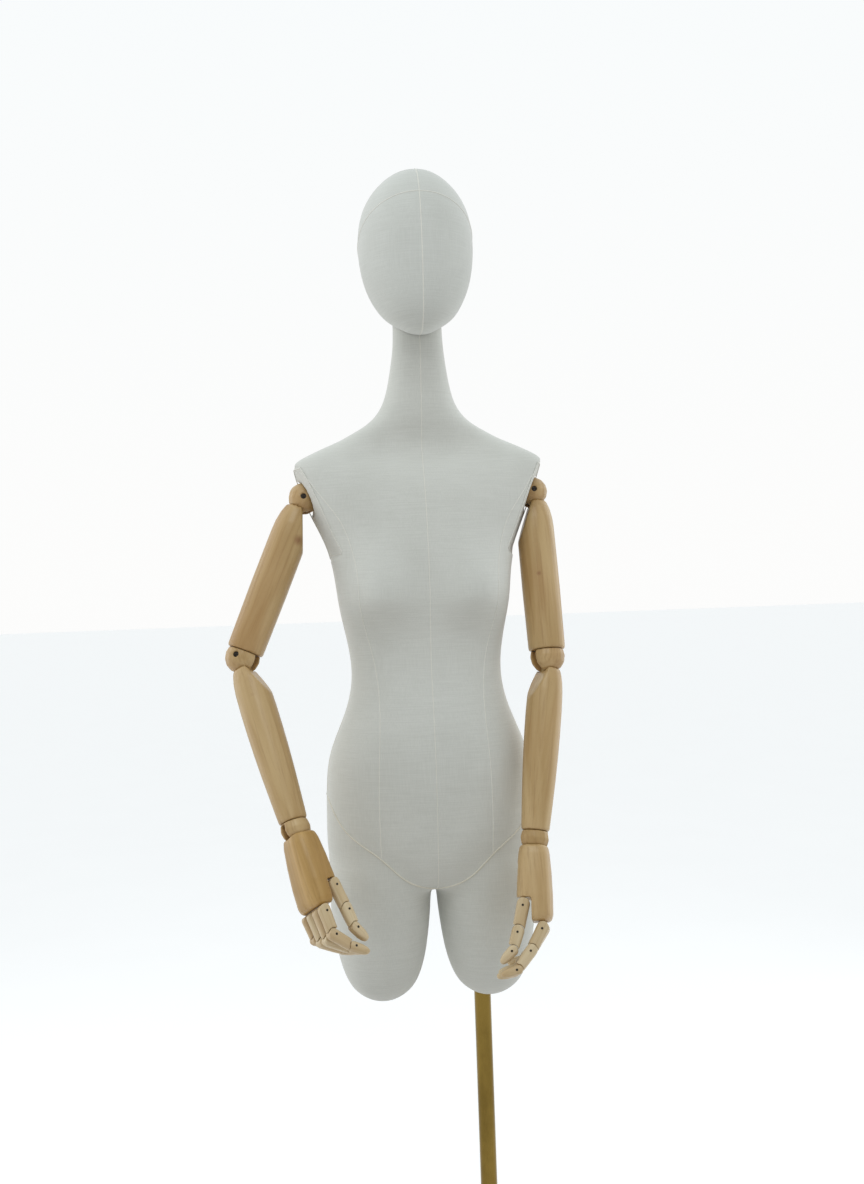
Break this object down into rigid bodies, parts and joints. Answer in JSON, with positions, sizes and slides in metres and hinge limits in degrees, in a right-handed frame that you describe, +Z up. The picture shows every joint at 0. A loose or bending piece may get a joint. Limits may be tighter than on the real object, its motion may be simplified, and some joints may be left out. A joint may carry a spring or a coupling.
{
  "type": "display mannequin",
  "caption": "Fabric-covered female display form with an egg-shaped head and jointed wooden arms and hands, held up by a brass pole on a round base.",
  "frame": {"origin": "centre of the base plate's underside, on the floor, midway between the form's two legs", "axes": "+Z up; the form faces -Y, so its left arm is on +X and its right arm on -X"},
  "size_m": [0.5033, 0.4029, 1.847],
  "materials": {
    "fabric": "off-white fine linen weave, matte",
    "wood": "pale hardwood with fine straight grain, satin lacquer",
    "brass": "satin, slightly darkened gold",
    "steel": "dark, blackened"
  },
  "bodies": {
    "stand": {"base_plate": "brass", "outer_tube": "brass", "clamp_collar": "brass"},
    "knob": {"clamp_screw": "brass"},
    "form": {"inner_pole": "brass", "torso": "fabric", "left_armhole_board": "fabric", "right_armhole_board": "fabric", "neck_peg": "steel", "left_shoulder_mount": "wood", "right_shoulder_mount": "wood"},
    "head": {"head": "fabric"},
    "right_shoulder": {"right_shoulder_cap": "wood", "right_shoulder_bolt": "steel"},
    "right_upper_arm": {"right_upper_arm": "wood"},
    "right_elbow": {"right_elbow_ball": "wood", "right_elbow_bolt": "steel"},
    "right_forearm": {"right_forearm": "wood"},
    "right_wrist": {"right_wrist_ball": "wood", "right_wrist_pin": "steel"},
    "right_palm": {"right_palm": "wood"},
    "right_index_1": {"right_index_segment_1": "wood"},
    "right_index_2": {"right_index_segment_2": "wood"},
    "right_index_3": {"right_index_segment_3": "wood"},
    "right_middle_1": {"right_middle_segment_1": "wood"},
    "right_middle_2": {"right_middle_segment_2": "wood"},
    "right_middle_3": {"right_middle_segment_3": "wood"},
    "right_ring_1": {"right_ring_segment_1": "wood"},
    "right_ring_2": {"right_ring_segment_2": "wood"},
    "right_ring_3": {"right_ring_segment_3": "wood"},
    "right_little_1": {"right_little_segment_1": "wood"},
    "right_little_2": {"right_little_segment_2": "wood"},
    "right_little_3": {"right_little_segment_3": "wood"},
    "right_thumb_1": {"right_thumb_segment_1": "wood"},
    "right_thumb_2": {"right_thumb_segment_2": "wood"},
    "right_thumb_3": {"right_thumb_segment_3": "wood"},
    "left_shoulder": {"left_shoulder_cap": "wood", "left_shoulder_bolt": "steel"},
    "left_upper_arm": {"left_upper_arm": "wood"},
    "left_elbow": {"left_elbow_ball": "wood", "left_elbow_bolt": "steel"},
    "left_forearm": {"left_forearm": "wood"},
    "left_wrist": {"left_wrist_ball": "wood", "left_wrist_pin": "steel"},
    "left_palm": {"left_palm": "wood"},
    "left_index_1": {"left_index_segment_1": "wood"},
    "left_index_2": {"left_index_segment_2": "wood"},
    "left_index_3": {"left_index_segment_3": "wood"},
    "left_middle_1": {"left_middle_segment_1": "wood"},
    "left_middle_2": {"left_middle_segment_2": "wood"},
    "left_middle_3": {"left_middle_segment_3": "wood"},
    "left_ring_1": {"left_ring_segment_1": "wood"},
    "left_ring_2": {"left_ring_segment_2": "wood"},
    "left_ring_3": {"left_ring_segment_3": "wood"},
    "left_little_1": {"left_little_segment_1": "wood"},
    "left_little_2": {"left_little_segment_2": "wood"},
    "left_little_3": {"left_little_segment_3": "wood"},
    "left_thumb_1": {"left_thumb_segment_1": "wood"},
    "left_thumb_2": {"left_thumb_segment_2": "wood"},
    "left_thumb_3": {"left_thumb_segment_3": "wood"}
  },
  "joints": [
    {"name": "height_slide", "type": "slide", "parent": "stand", "child": "form", "axis": [0, 0, 1], "range_m": [-0.08, 0.1]},
    {"name": "clamp_turn", "type": "hinge", "parent": "stand", "child": "knob", "pos_m": [0.069, 0.005, 0.31315], "axis": [1, 0, 0], "range_deg": [0, 270]},
    {"name": "head_turn", "type": "hinge", "parent": "form", "child": "head", "pos_m": [0, -0.0425, 0], "axis": [0, 0, 1], "range_deg": [-90, 90]},
    {"name": "right_shoulder_swing", "type": "hinge", "parent": "form", "child": "right_shoulder", "pos_m": [-0.174, 0.02, 1.381], "axis": [-1, 0, 0], "range_deg": [0, 65]},
    {"name": "right_shoulder_raise", "type": "hinge", "parent": "right_shoulder", "child": "right_upper_arm", "pos_m": [-0.174, 0.02, 1.381], "axis": [0, 0.9903, -0.1392], "range_deg": [-4, 75]},
    {"name": "right_elbow_turn", "type": "hinge", "parent": "right_upper_arm", "child": "right_elbow", "pos_m": [-0.27158, -0.01279, 1.1477], "axis": [-0.3827, -0.1286, -0.9149], "range_deg": [-8, 90]},
    {"name": "right_elbow_bend", "type": "hinge", "parent": "right_elbow", "child": "right_forearm", "pos_m": [-0.27158, -0.01279, 1.1477], "axis": [-0.3758, -0.883, 0.2813], "range_deg": [-40, 33]},
    {"name": "right_wrist_turn", "type": "hinge", "parent": "right_forearm", "child": "right_wrist", "pos_m": [-0.20241, -0.11795, 0.90997], "axis": [-0.2571, 0.391, 0.8838], "range_deg": [-60, 60]},
    {"name": "right_wrist_bend", "type": "hinge", "parent": "right_wrist", "child": "right_palm", "pos_m": [-0.20241, -0.11795, 0.90997], "axis": [0.4405, -0.7666, 0.4673], "range_deg": [-35, 20]},
    {"name": "right_index_1", "type": "hinge", "parent": "right_palm", "child": "right_index_1", "pos_m": [-0.16747, -0.19174, 0.81077], "axis": [-0.4405, 0.7666, -0.4673], "range_deg": [-3, 10]},
    {"name": "right_index_2", "type": "hinge", "parent": "right_index_1", "child": "right_index_2", "pos_m": [-0.15671, -0.20379, 0.78086], "axis": [-0.4405, 0.7666, -0.4673], "range_deg": [-4, 36]},
    {"name": "right_index_3", "type": "hinge", "parent": "right_index_2", "child": "right_index_3", "pos_m": [-0.13074, -0.20005, 0.76253], "axis": [-0.4405, 0.7666, -0.4673], "range_deg": [-12, 9]},
    {"name": "right_middle_1", "type": "hinge", "parent": "right_palm", "child": "right_middle_1", "pos_m": [-0.17495, -0.17871, 0.80283], "axis": [-0.4405, 0.7666, -0.4673], "range_deg": [-30, 10]},
    {"name": "right_middle_2", "type": "hinge", "parent": "right_middle_1", "child": "right_middle_2", "pos_m": [-0.1627, -0.19147, 0.77033], "axis": [-0.4405, 0.7666, -0.4673], "range_deg": [-14, 36]},
    {"name": "right_middle_3", "type": "hinge", "parent": "right_middle_2", "child": "right_middle_3", "pos_m": [-0.13313, -0.18347, 0.75558], "axis": [-0.4405, 0.7666, -0.4673], "range_deg": [-35, 9]},
    {"name": "right_ring_1", "type": "hinge", "parent": "right_palm", "child": "right_ring_1", "pos_m": [-0.18244, -0.16567, 0.79489], "axis": [-0.4405, 0.7666, -0.4673], "range_deg": [-30, 10]},
    {"name": "right_ring_2", "type": "hinge", "parent": "right_ring_1", "child": "right_ring_2", "pos_m": [-0.17034, -0.17742, 0.76421], "axis": [-0.4405, 0.7666, -0.4673], "range_deg": [-14, 36]},
    {"name": "right_ring_3", "type": "hinge", "parent": "right_ring_2", "child": "right_ring_3", "pos_m": [-0.14228, -0.16923, 0.7512], "axis": [-0.4405, 0.7666, -0.4673], "range_deg": [-35, 9]},
    {"name": "right_little_1", "type": "hinge", "parent": "right_palm", "child": "right_little_1", "pos_m": [-0.19001, -0.15256, 0.78801], "axis": [-0.4405, 0.7666, -0.4673], "range_deg": [-30, 10]},
    {"name": "right_little_2", "type": "hinge", "parent": "right_little_1", "child": "right_little_2", "pos_m": [-0.17953, -0.16141, 0.76361], "axis": [-0.4405, 0.7666, -0.4673], "range_deg": [-14, 36]},
    {"name": "right_little_3", "type": "hinge", "parent": "right_little_2", "child": "right_little_3", "pos_m": [-0.15745, -0.1545, 0.75413], "axis": [-0.4405, 0.7666, -0.4673], "range_deg": [-35, 9]},
    {"name": "right_thumb_1", "type": "hinge", "parent": "right_palm", "child": "right_thumb_1", "pos_m": [-0.15282, -0.16585, 0.83922], "axis": [-0.4405, 0.7666, -0.4673], "range_deg": [-15, 2]},
    {"name": "right_thumb_2", "type": "hinge", "parent": "right_thumb_1", "child": "right_thumb_2", "pos_m": [-0.1374, -0.17645, 0.8073], "axis": [-0.4405, 0.7666, -0.4673], "range_deg": [-20, 2]},
    {"name": "right_thumb_3", "type": "hinge", "parent": "right_thumb_2", "child": "right_thumb_3", "pos_m": [-0.12691, -0.18472, 0.78384], "axis": [-0.4405, 0.7666, -0.4673], "range_deg": [-25, 4]},
    {"name": "left_shoulder_swing", "type": "hinge", "parent": "form", "child": "left_shoulder", "pos_m": [0.174, 0.02, 1.381], "axis": [-1, 0, 0], "range_deg": [0, 35]},
    {"name": "left_shoulder_raise", "type": "hinge", "parent": "left_shoulder", "child": "left_upper_arm", "pos_m": [0.174, 0.02, 1.381], "axis": [0, -0.9744, 0.225], "range_deg": [0, 90]},
    {"name": "left_elbow_turn", "type": "hinge", "parent": "left_upper_arm", "child": "left_elbow", "pos_m": [0.17845, -0.03735, 1.13257], "axis": [-0.0175, 0.2249, 0.9742], "range_deg": [-10, 100]},
    {"name": "left_elbow_bend", "type": "hinge", "parent": "left_elbow", "child": "left_forearm", "pos_m": [0.17845, -0.03735, 1.13257], "axis": [-0.309, 0.9255, -0.2192], "range_deg": [-10, 8]},
    {"name": "left_wrist_turn", "type": "hinge", "parent": "left_forearm", "child": "left_wrist", "pos_m": [0.13645, -0.11179, 0.87751], "axis": [-0.1561, -0.2767, -0.9482], "range_deg": [-60, 60]},
    {"name": "left_wrist_bend", "type": "hinge", "parent": "left_wrist", "child": "left_palm", "pos_m": [0.13645, -0.11179, 0.87751], "axis": [0.2015, 0.9308, -0.3048], "range_deg": [-35, 12]},
    {"name": "left_index_1", "type": "hinge", "parent": "left_palm", "child": "left_index_1", "pos_m": [0.13212, -0.17496, 0.76572], "axis": [-0.2015, -0.9308, 0.3048], "range_deg": [-5, 18]},
    {"name": "left_index_2", "type": "hinge", "parent": "left_index_1", "child": "left_index_2", "pos_m": [0.11439, -0.18045, 0.73724], "axis": [-0.2015, -0.9308, 0.3048], "range_deg": [-8, 8]},
    {"name": "left_index_3", "type": "hinge", "parent": "left_index_2", "child": "left_index_3", "pos_m": [0.09417, -0.1841, 0.71271], "axis": [-0.2015, -0.9308, 0.3048], "range_deg": [-22, 25]},
    {"name": "left_middle_1", "type": "hinge", "parent": "left_palm", "child": "left_middle_1", "pos_m": [0.13554, -0.15913, 0.76054], "axis": [-0.2015, -0.9308, 0.3048], "range_deg": [-20, 18]},
    {"name": "left_middle_2", "type": "hinge", "parent": "left_middle_1", "child": "left_middle_2", "pos_m": [0.11519, -0.16468, 0.73015], "axis": [-0.2015, -0.9308, 0.3048], "range_deg": [-36, 8]},
    {"name": "left_middle_3", "type": "hinge", "parent": "left_middle_2", "child": "left_middle_3", "pos_m": [0.09198, -0.16773, 0.70549], "axis": [-0.2015, -0.9308, 0.3048], "range_deg": [-22, 25]},
    {"name": "left_ring_1", "type": "hinge", "parent": "left_palm", "child": "left_ring_1", "pos_m": [0.13897, -0.14331, 0.75536], "axis": [-0.2015, -0.9308, 0.3048], "range_deg": [-20, 18]},
    {"name": "left_ring_2", "type": "hinge", "parent": "left_ring_1", "child": "left_ring_2", "pos_m": [0.11922, -0.14835, 0.72691], "axis": [-0.2015, -0.9308, 0.3048], "range_deg": [-36, 8]},
    {"name": "left_ring_3", "type": "hinge", "parent": "left_ring_2", "child": "left_ring_3", "pos_m": [0.09624, -0.15063, 0.70476], "axis": [-0.2015, -0.9308, 0.3048], "range_deg": [-22, 25]},
    {"name": "left_little_1", "type": "hinge", "parent": "left_palm", "child": "left_little_1", "pos_m": [0.14239, -0.12756, 0.75125], "axis": [-0.2015, -0.9308, 0.3048], "range_deg": [-20, 18]},
    {"name": "left_little_2", "type": "hinge", "parent": "left_little_1", "child": "left_little_2", "pos_m": [0.1262, -0.13143, 0.72874], "axis": [-0.2015, -0.9308, 0.3048], "range_deg": [-36, 8]},
    {"name": "left_little_3", "type": "hinge", "parent": "left_little_2", "child": "left_little_3", "pos_m": [0.10795, -0.13305, 0.71172], "axis": [-0.2015, -0.9308, 0.3048], "range_deg": [-22, 25]},
    {"name": "left_thumb_1", "type": "hinge", "parent": "left_palm", "child": "left_thumb_1", "pos_m": [0.1085, -0.15986, 0.79587], "axis": [-0.2015, -0.9308, 0.3048], "range_deg": [-15, 3]},
    {"name": "left_thumb_2", "type": "hinge", "parent": "left_thumb_1", "child": "left_thumb_2", "pos_m": [0.0984, -0.16895, 0.76145], "axis": [-0.2015, -0.9308, 0.3048], "range_deg": [-20, 5]},
    {"name": "left_thumb_3", "type": "hinge", "parent": "left_thumb_2", "child": "left_thumb_3", "pos_m": [0.08928, -0.17505, 0.73678], "axis": [-0.2015, -0.9308, 0.3048], "range_deg": [-25, 12]}
  ]
}
